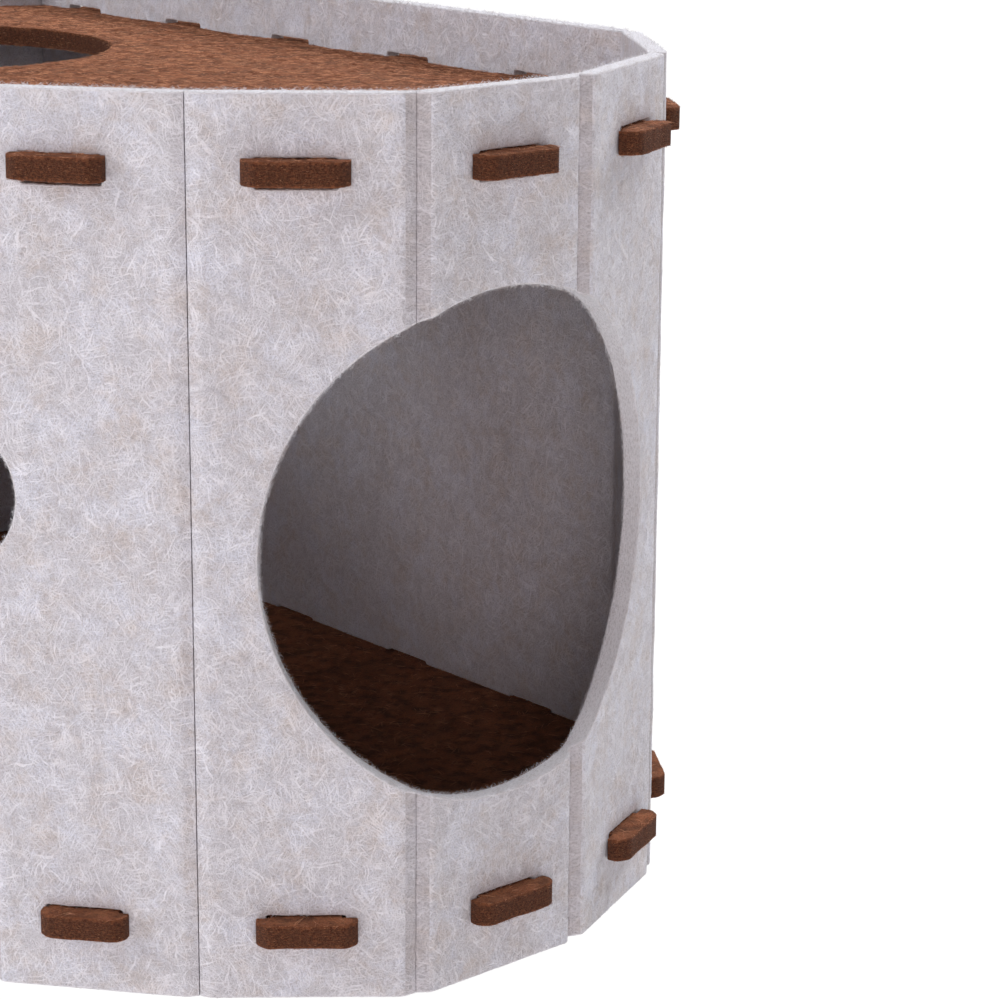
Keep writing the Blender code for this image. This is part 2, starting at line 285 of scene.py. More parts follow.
# Outlines that can be set in from the cut
def roundedLoop(points, radius, spacing, steps=4):
    # each corner becomes a short parabola between its two sides, and long sides are cut to the spacing; the
    # radius may differ from corner to corner
    before, after = np.roll(points, 1, axis=0) - points, np.roll(points, -1, axis=0) - points
    lengthBefore, lengthAfter = np.linalg.norm(before, axis=1), np.linalg.norm(after, axis=1)
    before, after = before / lengthBefore[:, None], after / lengthAfter[:, None]
    bend = np.arccos(np.clip(-(before * after).sum(axis=1), -1, 1))
    cut = np.minimum(radius * np.tan(bend / 2), 0.4 * np.minimum(lengthBefore, lengthAfter))[:, None]
    t = np.linspace(0.0, 1.0, steps + 1)[None, :, None]
    corner = points[:, None, :]
    arcs = ((1 - t) ** 2 * (corner + (before * cut)[:, None, :]) + 2 * t * (1 - t) * corner
            + t ** 2 * (corner + (after * cut)[:, None, :]))
    loop = arcs.reshape(-1, 2)
    following = np.roll(loop, -1, axis=0)
    parts = np.maximum(1, np.ceil(np.linalg.norm(following - loop, axis=1) / spacing).astype(int))
    which = np.repeat(np.arange(len(loop)), parts)
    step = np.arange(len(which)) - np.repeat(np.cumsum(parts) - parts, parts)
    share = (step / parts[which])[:, None]
    return loop[which] * (1 - share) + following[which] * share


def leftOf(sides):
    sides = sides / np.linalg.norm(sides, axis=1)[:, None]
    return np.stack((-sides[:, 1], sides[:, 0]), axis=1)


def setIn(loop, distance):
    # every point moves along the mitre of its two sides, to the left of the way the loop runs
    left = leftOf(np.roll(loop, -1, axis=0) - loop)
    leftBefore = np.roll(left, 1, axis=0)
    mitre = (left + leftBefore) / (1 + (left * leftBefore).sum(axis=1))[:, None]
    return loop + mitre * distance


def wobble(loop, amount, seed, count=10, lengths=(4.0 * mm, 20.0 * mm)):
    # a hand-cut edge: a few sine waves round the loop push its points in and out
    random = np.random.default_rng(seed)
    run = np.concatenate(([0.0], np.cumsum(np.linalg.norm(np.diff(loop, axis=0), axis=1))))
    total = run[-1] + np.linalg.norm(loop[0] - loop[-1])
    waves = np.maximum(1, np.round(total / random.uniform(*lengths, count)))
    phase = random.uniform(0, 2 * np.pi, count)
    push = np.sin(2 * np.pi * run[:, None] / total * waves + phase).sum(axis=1) * amount / 3
    return loop + leftOf(np.roll(loop, -1, axis=0) - np.roll(loop, 1, axis=0)) * push[:, None]


def roundHole(centreX, centreY, diameter, spacing, columns=()):
    # a circle run clockwise, so that its left is the felt, with a point wherever it meets one of the creases'
    # lines in place of the even points next to it
    radius = diameter / 2
    columns = np.array([c for c in columns if abs(c - centreX) < radius - 1.2 * mm])
    meets = np.arccos((columns - centreX) / radius)
    even = np.arange(0, 2 * np.pi, spacing / radius)
    fixed = np.concatenate((meets, 2 * np.pi - meets))
    apart = np.abs((even[:, None] - fixed[None, :] + np.pi) % (2 * np.pi) - np.pi)
    even = even[apart.min(axis=1, initial=np.pi) > 0.35 * spacing / radius]
    angle = np.concatenate((even, fixed))
    lineX = np.concatenate((np.full(len(even), np.nan), columns, columns))
    order = np.argsort(-angle)
    angle, lineX = angle[order], lineX[order]

    def loop(inset):
        reach = radius + inset
        x = np.where(np.isnan(lineX), centreX + reach * np.cos(angle), lineX)
        onLine = centreY + np.sign(np.sin(angle)) * np.sqrt(np.maximum(reach ** 2 - (x - centreX) ** 2, 0.0))
        return np.stack((x, np.where(np.isnan(lineX), centreY + reach * np.sin(angle), onLine)), axis=1)
    return loop


def slotHole(centre, topHeight, seed):
    # a slot for one tab, run clockwise, with slightly rounded ends and an unsteady cut
    half = tab["neck"] / 2 + slot["endPlay"]
    low, high = topHeight - house["boardThick"] - slot["under"], topHeight + slot["over"]
    left, right = centre - half, centre + half
    corners = np.array([(left, low), (left, high), (right, high), (right, low)])
    base = wobble(roundedLoop(corners, slot["corner"], slot["spacing"]), slot["unsteady"], seed)
    return lambda inset: setIn(base, inset)


def straightEdge(columns, rows):
    # the strip's or panel's outside edge, counter-clockwise, with a point for every column and row
    lowX, highX, lowY, highY = columns[0], columns[-1], rows[0], rows[-1]
    x = np.concatenate((columns, np.full(len(rows) - 2, highX), columns[::-1], np.full(len(rows) - 2, lowX)))
    y = np.concatenate((np.full(len(columns), lowY), rows[1:-1], np.full(len(columns), highY), rows[-2:0:-1]))

    def loop(inset):
        atX = np.clip(x, lowX + inset, highX - inset)
        return np.stack((atX, np.clip(y, lowY + inset, highY - inset)), axis=1)
    return loop


# A felt plate with soft cut edges
def farFrom(points, loop, distance):
    # true where a point is further than this from every side of the loop
    low, high = loop.min(axis=0) - distance, loop.max(axis=0) + distance
    far = np.ones(len(points), bool)
    near = np.flatnonzero(((points > low) & (points < high)).all(axis=1))
    along = np.roll(loop, -1, axis=0) - loop
    size = (along ** 2).sum(axis=1)
    for part in np.array_split(near, len(near) * len(loop) // pairsAtOnce + 1):
        away = points[part][:, None, :] - loop[None]
        t = np.clip((away * along).sum(axis=2) / size, 0, 1)
        away = away - t[..., None] * along
        far[part] = (away ** 2).sum(axis=2).min(axis=1) > distance ** 2
    return far


def inside(points, loop):
    # counts how often a line to the right crosses the loop: odd is inside
    low, high = loop.min(axis=0), loop.max(axis=0)
    result = np.zeros(len(points), bool)
    near = np.flatnonzero(((points > low) & (points < high)).all(axis=1))
    ax, ay = loop.T
    bx, by = np.roll(loop, -1, axis=0).T
    slope = (bx - ax) / np.where(by == ay, 1.0, by - ay)
    for part in np.array_split(near, len(near) * len(loop) // pairsAtOnce + 1):
        x, y = points[part, 0][:, None], points[part, 1][:, None]
        crosses = ((ay > y) != (by > y)) & (x < ax + (y - ay) * slope)
        result[part] = crosses.sum(axis=1) % 2 == 1
    return result


def relief(flat, seed, amount, count=40, shortest=5.0 * mm, longest=30.0 * mm):
    # low uneven swells in pressed felt: the sum of many sine waves in all directions, the long ones higher
    random = np.random.default_rng(seed)
    angle, size = random.uniform(0, 2 * np.pi, count), random.uniform(shortest, longest, count)
    waves = 2 * np.pi / size * np.stack((np.cos(angle), np.sin(angle)))
    phase, height = random.uniform(0, 2 * np.pi, count), size / longest
    total = np.zeros(len(flat))
    for k in range(count):
        total += height[k] * np.sin(flat @ waves[:, k] + phase[k])
    return total * amount / 4


# Cut edges, how round they are in either felt, and how high the faces' swells are
edge = dict(light=0.6 * mm, brown=0.45 * mm, arcSteps=3, wallSteps=3, swell=0.11 * mm, clear=0.8 * mm)


def plateProfile(thick, r):
    # the cut edge from face to face, as how far in from the cut and how deep: down a quarter circle, along
    # the cut and up another quarter circle
    turn = np.linspace(0, np.pi / 2, edge["arcSteps"] + 1)
    inset, depth = r * (1 - np.sin(turn)), r * (1 - np.cos(turn))
    middle = np.linspace(r, thick - r, edge["wallSteps"] + 2)[1:-1]
    return (np.concatenate((inset, np.zeros(len(middle)), inset[::-1])),
            np.concatenate((depth, middle, thick - depth[::-1])))


# Where the pattern of the inner faces and of the cuts starts, apart from the outer faces'
innerUv, cutUv = (3.0, 3.0), (0.0, 7.0)


def feltPlate(name, outer, holes, grid, lines, place, thick, rounding, felts, seed, grooved=None):
    # outer and holes are functions from an inset to a loop, grid is the columns and rows of the points
    # between them, and lines are creases that no triangle may cross. Both faces share one flat triangulation,
    # and each loop carries the cut's profile from face to face. The felts are the face's, the cut's and the
    # grooves', whose darker ground is partly painted shade, and grooved says which flat points lie in a groove
    insets, depths = plateProfile(thick, rounding)
    loops = [outer] + holes
    rims = [loop(insets[0]) for loop in loops]
    free = np.stack(np.meshgrid(*grid), axis=-1).reshape(-1, 2)
    for rim in rims:
        free = free[farFrom(free, rim, edge["clear"])]
    free = free[inside(free, rims[0])]
    for rim in rims[1:]:
        free = free[~inside(free, rim)]
    points = np.vstack(rims + [free])
    sizes = [len(rim) for rim in rims]
    firsts = np.cumsum([0] + sizes)
    around = np.concatenate([first + np.roll(np.arange(size), -1) for first, size in zip(firsts, sizes)])
    edges = np.stack((np.arange(firsts[-1]), around), axis=1).tolist()
    ends = np.array([(x, y) for x, low, high in lines for y in (low, high)]).reshape(-1, 2)
    edges += (len(points) + np.arange(len(ends)).reshape(-1, 2)).tolist()
    everything = np.vstack((points, ends)).tolist()
    verts, _, faces, *_ = delaunay_2d_cdt(list(map(Vector, everything)), edges, [], 0, 1e-7, False)
    flat, triangles = np.array(list(map(tuple, verts))), np.array(faces)
    a, b, c = (flat[triangles[:, k]] for k in range(3))
    area = (b[:, 0] - a[:, 0]) * (c[:, 1] - a[:, 1]) - (b[:, 1] - a[:, 1]) * (c[:, 0] - a[:, 0])
    triangles[area < 0] = triangles[area < 0][:, ::-1]
    centre = (a + b + c) / 3
    keep = inside(centre, rims[0]) & (np.abs(area) > 1e-12)
    for rim in rims[1:]:
        keep &= ~inside(centre, rim)
    triangles = triangles[keep]
    count = len(flat)
    swellOut, swellIn = relief(flat, seed, edge["swell"]), relief(flat, seed + 1, edge["swell"])
    positions = [place(flat, 0.0, swellOut), place(flat, 1.0, swellIn)]
    corners = [triangles, triangles[:, ::-1] + count]
    uvs = [flat[triangles].reshape(-1, 2), (flat + innerUv)[triangles[:, ::-1]].reshape(-1, 2)]
    inGroove = grooved(centre[keep]) if grooved else np.zeros(len(triangles), bool)
    materials = [np.where(inGroove, 2, 0), np.zeros(len(triangles), int)]
    base = 2 * count
    levels = len(insets)
    for loop, rim in zip(loops, rims):
        size = len(rim)
        rings = np.array([loop(inset) for inset in insets])
        middle = rings[levels // 2]
        steps = np.linalg.norm(np.roll(middle, -1, axis=0) - middle, axis=1)
        run = np.concatenate(([0.0], np.cumsum(steps)))
        out, inn = relief(rim, seed, edge["swell"]), relief(rim, seed + 1, edge["swell"])
        for level in range(levels):
            share = depths[level] / thick
            fade = out * (1 - share) + inn * share
            positions.append(place(rings[level], share, fade))
        grid = base + np.arange(levels)[:, None] * size + np.arange(size)[None, :]
        after = np.roll(grid, -1, axis=1)
        quads = np.stack((grid[:-1], after[:-1], after[1:], grid[1:]), axis=-1).reshape(-1, 4)[:, ::-1]
        across = np.concatenate(([0.0], np.cumsum(np.hypot(np.diff(insets), np.diff(depths)))))
        u0, u1 = np.meshgrid(run[:-1], across[:-1]), np.meshgrid(run[1:], across[1:])
        corner = np.stack([np.stack((u0[0], u0[1]), -1), np.stack((u1[0], u0[1]), -1),
                           np.stack((u1[0], u1[1]), -1), np.stack((u0[0], u1[1]), -1)], axis=2)
        corner = corner.reshape(-1, 4, 2)[:, ::-1]
        halves = np.concatenate((quads[:, [0, 1, 2]], quads[:, [0, 2, 3]]))
        corners.append(halves)
        uvs.append(np.concatenate((corner[:, [0, 1, 2]], corner[:, [0, 2, 3]])).reshape(-1, 2) + cutUv)
        materials.append(np.ones(len(halves), int))
        base += levels * size
    return meshPiece(name, np.vstack(positions), np.vstack(corners), np.vstack(uvs),
                     np.concatenate(materials), felts)


def meshPiece(name, points, triangles, uvs, materialOf, feltList, weld=2e-6):
    # fills a mesh from whole arrays; where its skins meet at the same points, within the weld, they are joined
    if weld:
        keys = np.round(points / weld).astype(np.int64)
        _, first, same = np.unique(keys, axis=0, return_index=True, return_inverse=True)
        points, triangles = points[first], same.reshape(-1)[triangles]
        good = (triangles != np.roll(triangles, 1, axis=1)).all(axis=1)
        uvs = uvs.reshape(-1, 3, 2)[good].reshape(-1, 2)
        triangles, materialOf = triangles[good], materialOf[good]
    mesh = bpy.data.meshes.new(name)
    mesh.vertices.add(len(points))
    mesh.vertices.foreach_set("co", points.astype(np.float32).ravel())
    mesh.loops.add(triangles.size)
    mesh.loops.foreach_set("vertex_index", triangles.astype(np.int32).ravel())
    mesh.polygons.add(len(triangles))
    mesh.polygons.foreach_set("loop_start", np.arange(0, triangles.size, 3, dtype=np.int32))
    mesh.polygons.foreach_set("material_index", materialOf.astype(np.int32))
    mesh.update(calc_edges=True)
    if uvs is not None:
        layer = mesh.uv_layers.new(name="felt")
        layer.data.foreach_set("uv", uvs.astype(np.float32).ravel())
    for felt in feltList:
        mesh.materials.append(felt)
    mesh.shade_smooth()
    piece = bpy.data.objects.new(name, mesh)
    bpy.context.collection.objects.link(piece)
    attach(piece, "root")
    print(name, "has", len(triangles), "triangles")
    return piece


# Loose fibres that lie on the felt and fringe its cuts: how high they stay, how deep their ends are dipped in,
# how bowed they are, how far from cuts they lie, and where along them their points are
strand = dict(overGround=0.1 * mm, dip=0.06 * mm, bow=0.13, root=0.12 * mm, fromCut=1.0 * mm,
              fromHole=1.2 * mm, points=(-0.5, -0.17, 0.17, 0.5), fringePoints=(0.0, 0.55, 1.0))


def strandPieces(name, slotName, felt, paths, widths):
    # a fibre is a thin tube: a tip, a ring of three at each inner point of its path, and a tip. None reaches
    # below the ground
    paths = np.concatenate((paths[..., :2], np.maximum(paths[..., 2:], strand["overGround"])), axis=-1)
    forward = paths[:, -1] - paths[:, 0]
    forward /= np.maximum(np.linalg.norm(forward, axis=1), 1e-9)[:, None]
    helper = np.where(np.abs(forward[:, 2:]) < 0.8, [[0.0, 0.0, 1.0]], [[1.0, 0.0, 0.0]])
    sideways = np.cross(forward, helper)
    sideways /= np.linalg.norm(sideways, axis=1)[:, None]
    upwards = np.cross(forward, sideways)
    turn = np.radians([0.0, 120.0, 240.0])[None, :, None]
    ring = (sideways[:, None] * np.cos(turn) + upwards[:, None] * np.sin(turn)) * widths[:, None, None] / 2
    rings = paths.shape[1] - 2
    around = [paths[:, k:k + 1] + ring for k in range(1, rings + 1)]
    points = np.concatenate((paths[:, :1], *around, paths[:, -1:]), axis=1)
    shape, last = [], 3 * rings + 1
    for k, j in ((0, 1), (1, 2), (2, 0)):
        shape += [(0, 1 + j, 1 + k), (last, last - 3 + k, last - 3 + j)]
        if rings == 2:
            shape += [(1 + k, 1 + j, 4 + j), (1 + k, 4 + j, 4 + k)]
    shape = np.array(shape)
    groups = np.array_split(points, len(points) * len(shape) // trianglesAPiece + 1)
    for number, group in enumerate(groups):
        triangles = (shape[None] + (last + 1) * np.arange(len(group))[:, None, None]).reshape(-1, 3)
        piece = meshPiece(name + str(number + 1), group.reshape(-1, 3), triangles, None,
                          np.zeros(len(triangles), int), [felt], weld=0.0)


def lyingFibres(count, outer, holes, place, share, reliefSeed, seed, length, width, rise, bare=None):
    # fibres lie on a face in all directions, each slightly bowed, with its ends dipped in and its middle
    # raised; bare says where a face has none
    random = np.random.default_rng(seed)
    rim = outer(strand["fromCut"])
    middle = random.uniform(rim.min(axis=0), rim.max(axis=0), (count, 2))
    middle = middle[inside(middle, rim)]
    for hole in holes:
        middle = middle[~inside(middle, hole(strand["fromHole"]))]
    if bare:
        middle = middle[~bare(middle)]
    count = len(middle)
    angle = random.uniform(0, np.pi, count)
    bow = random.uniform(-strand["bow"], strand["bow"], count)[:, None, None]
    size = random.uniform(*length, count)[:, None, None]
    t = np.array(strand["points"])[None, :, None]
    forward = np.stack((np.cos(angle), np.sin(angle)), axis=1)[:, None]
    aside = np.stack((-np.sin(angle), np.cos(angle)), axis=1)[:, None]
    flat = middle[:, None] + size * (t * forward + bow * (1 - 4 * t ** 2) * aside)
    flat = np.clip(flat, rim.min(axis=0), rim.max(axis=0)).reshape(-1, 2)
    lift = np.full((count, 4), -strand["dip"])
    lift[:, 1:3] = random.uniform(0.1, 1.0, (count, 2)) * rise
    paths = place(flat, share, relief(flat, reliefSeed, edge["swell"]) + (1 - 2 * share) * lift.ravel())
    return paths.reshape(count, 4, 3), random.uniform(0.45, 1.0, count) * width


def fringeFibres(perMm, loop, place, thick, rounding, seed, reach, width, spread=0.5, busy=None):
    # fibres root in a cut edge, mostly near its two corners when the spread is small, run along it and lean
    # out of it; reach is how far they go along it and out of it, and busy gives how many there are at each
    # point of the loop
    random = np.random.default_rng(seed)
    outline = loop(0.0)
    closed = np.vstack((outline, outline[:1]))
    side = np.diff(closed, axis=0)
    step = np.linalg.norm(side, axis=1)
    away = -leftOf(side)
    away = np.vstack((away, away[:1]))
    run = np.concatenate(([0.0], np.cumsum(step)))
    weights = step * (busy(outline) if busy else 1.0)
    grown = np.concatenate(([0.0], np.cumsum(weights)))
    count = int(grown[-1] / mm * perMm)
    root = np.interp(random.uniform(0, grown[-1], count), grown, run)
    forward = random.choice([-1.0, 1.0], count) * random.uniform(0.2, 1.0, count) * reach[0]
    high = random.uniform(0.1, 1.0, count) ** 2 * reach[1]
    t = np.array(strand["fringePoints"])
    at = (root[:, None] + forward[:, None] * t) % run[-1]
    insets, depths = plateProfile(thick, rounding)
    depth = thick * random.beta(spread, spread, count)
    start = -np.interp(depth, depths, insets) - strand["root"]
    height = start[:, None] + (high - start)[:, None] * t ** random.uniform(0.6, 1.6, count)[:, None]
    flat = np.stack([np.interp(at, run, closed[:, k]) + height * np.interp(at, run, away[:, k])
                     for k in (0, 1)], axis=-1)
    share = depth / thick
    lift = np.sign(0.5 - share) * random.uniform(0.0, 0.5, count) ** 2 * reach[1]
    share = np.repeat(share, len(t))
    lift = (lift[:, None] * t ** 1.5).ravel()
    widths = random.uniform(0.5, 1.0, count) * width
    return place(flat.reshape(-1, 2), share, lift).reshape(count, len(t), 3), widths


def gather(*sets):
    # joins several sets of paths and widths
    return np.concatenate([paths for paths, _ in sets]), np.concatenate([widths for _, widths in sets])


# Felt
def nodeMaker(name):
    # for a new material, a short way to add a node, and one to set its shader: inputs go by name or number
    material = bpy.data.materials.new(name)
    material.use_nodes = True
    tree = material.node_tree

    def fill(node, inputs):
        for key, value in inputs.items():
            if isinstance(value, bpy.types.NodeSocket):
                tree.links.new(value, node.inputs[key])
            else:
                node.inputs[key].default_value = value

    def add(kind, inputs=None, out=0, **settings):
        node = tree.nodes.new("ShaderNode" + kind)
        for key, value in settings.items():
            setattr(node, key, value)
        fill(node, inputs or {})
        return node.outputs[out]

    def shade(inputs):
        fill(tree.nodes["Principled BSDF"], inputs)
        return material
    return add, shade


def mixColour(add, share, first, second):
    first, second = ((*colour, 1.0) if isinstance(colour, tuple) else colour for colour in (first, second))
    return add("Mix", {0: share, 6: first, 7: second}, out=2, data_type="RGBA")


def noise(add, place, scale, detail, roughness=0.5, out=0):
    # flat noise, as one value, or as a colour with out=1
    return add("TexNoise", {"Vector": place, "Scale": scale, "Detail": detail, "Roughness": roughness}, out=out,
               noise_dimensions="2D")


def fibreLayer(add, place, angle, length, width, low, high):
    # stretched noise, cut off below a level, leaves thin streaks that run one way
    turned = add("Mapping", {"Vector": place, "Rotation": (0.0, 0.0, angle), "Scale": (length, width, 1.0)},
                 vector_type="TEXTURE")
    return add("MapRange", {0: noise(add, turned, 1.0, 1.0, 0.4), 1: low, 2: high, 3: 0.0, 4: 1.0})


def crossedFibres(add, place, seed, layers, length, width, low, high, push=3.0 * mm):
    # streaks in many directions, all pushed about by one soft noise so that they curve; the strongest shows
    soft = noise(add, place, 130.0 + 9.0 * seed, 1.0, out=1)
    centred = add("VectorMath", {0: soft, 1: (0.5, 0.5, 0.5)}, operation="SUBTRACT")
    scaled = add("VectorMath", {0: centred, 1: (push, push, 0.0)}, operation="MULTIPLY")
    moved = add("VectorMath", {0: place, 1: scaled}, operation="ADD")
    total = None
    for k in range(layers):
        angle = math.pi * (k + 0.35 * math.sin(7.0 * k + seed)) / layers
        layer = fibreLayer(add, moved, angle, length, width, low, high)
        total = layer if total is None else add("Math", {0: total, 1: layer}, operation="MAXIMUM")
    return total


# How either felt looks: its ground, warm and cool patches, fibres and the dark gaps between them, how strongly
# the grain, the fibres and the tufts show, and its shader's values. Bump is in metres
lightLook = dict(base=(0.608, 0.586, 0.634), warm=(0.586, 0.510, 0.488), cool=(0.695, 0.705, 0.810),
                 fibre=(0.850, 0.845, 0.900), gap=(0.330, 0.300, 0.315), grain=0.50, fibreShare=0.50,
                 clump=0.0, clumpScale=260.0, roughness=0.95, sheen=0.10, bump=0.40 * mm)
brownLook = dict(base=(0.215, 0.060, 0.024), warm=(0.360, 0.118, 0.050), cool=(0.140, 0.046, 0.020),
                 fibre=(0.410, 0.172, 0.084), gap=(0.050, 0.017, 0.008), grain=0.82, fibreShare=0.45,
                 clump=0.70, clumpScale=140.0, roughness=0.95, sheen=0.03, bump=0.60 * mm)


def feltFace(name, look, seed):
    # pressed felt seen flat: soft blotches, crossed fibres lighter than the ground, dark gaps between them
    add, shade = nodeMaker(name)
    flat = add("UVMap", uv_map="felt")
    aside = add("VectorMath", {0: flat, 1: (5.3 + seed, 2.1, 0.0)}, operation="ADD")
    blotch, patch = noise(add, flat, 62.0, 6.0, 0.72), noise(add, aside, 50.0, 6.0, 0.7)
    ground = mixColour(add, add("MapRange", {0: blotch, 1: 0.46, 2: 0.66, 4: 0.85}), look["base"], look["warm"])
    ground = mixColour(add, add("MapRange", {0: patch, 1: 0.48, 2: 0.66, 4: 0.85}), ground, look["cool"])
    tufts = noise(add, aside, look["clumpScale"], 3.0, 0.6)
    between = add("MapRange", {0: tufts, 1: 0.54, 2: 0.36, 4: look["clump"]})
    ground = mixColour(add, between, ground, look["gap"])
    grain = noise(add, flat, 1350.0, 2.0, 0.7)
    between = add("MapRange", {0: grain, 1: 0.54, 2: 0.34, 4: look["grain"]})
    ground = mixColour(add, between, ground, look["gap"])
    long = crossedFibres(add, flat, seed, 4, 15.0 * mm, 0.40 * mm, 0.56, 0.70)
    fine = crossedFibres(add, aside, seed + 5, 4, 9.0 * mm, 0.28 * mm, 0.56, 0.70)
    fibres = add("Math", {0: long, 1: fine}, operation="MAXIMUM")
    lift = add("MapRange", {0: tufts, 1: 0.30, 2: 0.62, 3: 0.45, 4: 1.0})
    share = add("Math", {0: fibres, 1: lift}, operation="MULTIPLY")
    share = add("Math", {0: share, 1: look["fibreShare"]}, operation="MULTIPLY")
    colour = mixColour(add, share, ground, look["fibre"])
    height = add("Math", {0: fibres, 1: grain}, operation="ADD")
    height = add("Math", {0: tufts, 1: 2.0, 2: height}, operation="MULTIPLY_ADD")
    return finishFelt(look, add, shade, colour, height)


def finishFelt(look, add, shade, colour, height):
    # the shader of faces and cuts
    bump = add("Bump", {"Height": height, "Strength": 0.7, "Distance": look["bump"]})
    return shade({"Base Color": colour, "Normal": bump, "Roughness": look["roughness"],
                  "Specular IOR Level": 0.15, "Sheen Weight": look["sheen"], "Sheen Roughness": 0.5})


def feltCut(name, look, seed, ground, layerShare, edgeShare, fibreShare):
    # the cut through felt: thin layers that run along the cut, short crossed ends, and looser felt at both
    # faces, whose places are known from the UV map's second value
    add, shade = nodeMaker(name)
    flat = add("UVMap", uv_map="felt")
    layers = add("Mapping", {"Vector": flat, "Scale": (1.5 * mm, 0.42 * mm, 1.0)}, vector_type="TEXTURE")
    layered = noise(add, layers, 1.0, 3.0, 0.6)
    dark = add("MapRange", {0: layered, 1: 0.56, 2: 0.38, 4: layerShare})
    warm = add("MapRange", {0: layered, 1: 0.52, 2: 0.70, 4: 0.34 * layerShare})
    colour = mixColour(add, warm, mixColour(add, dark, ground, look["gap"]), look["warm"])
    ends = crossedFibres(add, flat, seed, 5, 1.4 * mm, 0.24 * mm, 0.56, 0.72)
    share = add("Math", {0: ends, 1: fibreShare}, operation="MULTIPLY")
    colour = mixColour(add, share, colour, look["fibre"])
    across = add("SeparateXYZ", {0: flat}, out=1)
    fromMiddle = add("Math", {0: across, 1: cutUv[1] + 3.8 * mm}, operation="SUBTRACT")
    fromMiddle = add("Math", {0: fromMiddle}, operation="ABSOLUTE")
    uneven = add("Math", {0: noise(add, flat, 600.0, 3.0), 1: 2.6 * mm, 2: -1.3 * mm}, operation="MULTIPLY_ADD")
    nearFace = add("MapRange", {0: add("Math", {0: fromMiddle, 1: uneven}, operation="ADD"),
                                1: 2.6 * mm, 2: 4.0 * mm, 4: edgeShare})
    colour = mixColour(add, nearFace, colour, mixColour(add, share, look["warm"], look["fibre"]))
    height = add("Math", {0: ends, 1: layered}, operation="ADD")
    return finishFelt(look, add, shade, colour, height)


def fibreFelt(name, pale, deep, share):
    # single fibres: most have the pale colour, some the deep one
    add, shade = nodeMaker(name)
    tint = add("TexNoise", {"Vector": add("TexCoord", out=3), "Scale": 260.0, "Detail": 2.0})
    mix = mixColour(add, add("MapRange", {0: tint, 1: 0.45, 2: 0.60, 4: share}), pale, deep)
    return shade({"Base Color": mix, "Roughness": 0.85, "Specular IOR Level": 0.2})


lightFace = feltFace("lightFelt", lightLook, 1)
lightCut = feltCut("lightFeltCut", lightLook, 2, (0.83, 0.810, 0.855), 0.42, 0.10, 0.50)
# The grooves' felt: few fibres and no sheen for the smoother felt of the V cuts, and a darker, greyer ground
# that is partly painted shade of the V
grooveFeltAndShadeLook = {**lightLook, "base": (0.565, 0.530, 0.560), "warm": (0.565, 0.505, 0.500),
              "cool": (0.615, 0.600, 0.655), "fibreShare": 0.15, "sheen": 0.0}
grooveFeltAndShade = feltFace("grooveFeltAndShade", grooveFeltAndShadeLook, 5)
brownFace = feltFace("brownFelt", brownLook, 3)
brownCut = feltCut("brownFeltCut", brownLook, 4, (0.055, 0.0145, 0.0070), 0.85, 0.50, 0.20)

lightFibre = fibreFelt("lightFibre", (0.84, 0.835, 0.885), (0.62, 0.555, 0.550), 0.8)
brownFibre = fibreFelt("brownFibre", (0.64, 0.305, 0.172), (0.16, 0.048, 0.020), 0.95)
print("felts are made")


# The walls. Lying fibres are a count, a thickness and a rise; a fringe is fibres for each mm, how far they
# reach along and out of the cut, a thickness and a spread
walls = dict(spacing=3.6 * mm, fibre=(3.5 * mm, 8.5 * mm), relief=11, bareBy=3.0 * mm, grooveFeltAndShade=0.2 * mm,
             bends=(0.0, 0.12, 0.3, 0.5, 0.68, 0.84, 1.0), outside=(48000, 0.10 * mm, 0.16 * mm),
             inside=(11000, 0.13 * mm, 0.25 * mm), sharp=50.0, upperRim=2.0 * mm, upperShare=2.2,
             lowerShare=0.5, rimFringe=(5.0, (2.6 * mm, 1.5 * mm), 0.11 * mm, 0.5),
             doorFringe=(14.0, (2.6 * mm, 1.6 * mm), 0.11 * mm, 0.3),
             peepholeFringe=(12.0, (2.4 * mm, 1.4 * mm), 0.11 * mm, 0.3),
             slotFringe=(4.0, (1.6 * mm, 0.5 * mm), 0.10 * mm, 0.3))
endWall = dict(relief=21, outside=(9000, 0.10 * mm, 0.16 * mm), inside=(3000, 0.13 * mm, 0.25 * mm),
               rimFringe=(4.0, (2.6 * mm, 1.2 * mm), 0.11 * mm, 0.5))
rows = np.linspace(0.0, house["wallHeight"], int(house["wallHeight"] / walls["spacing"]) + 1)


def coat(look, length, outer, holes, place, seed, bare=None):
    # lying fibres outside and inside one plate
    return [lyingFibres(look[side][0], outer, holes, place, share, look["relief"] + share, seed + share,
                        length, *look[side][1:], bare=None if share else bare)
            for share, side in enumerate(("outside", "inside"))]


def fringe(look, loop, place, thick, rounding, seed, busy=None):
    # one fringe from its look: fibres for each mm, reach, thickness and spread
    perMm, reach, width, spread = look
    return fringeFibres(perMm, loop, place, thick, rounding, seed, reach, width, spread, busy)


def fromCrease(flat):
    # distance along the flat strip to the nearest crease with smooth flanks: the second has loose ones
    return np.abs(flat[:, :1] - flatStarts[None, [1, 3, 4, 5, 6]]).min(axis=1)


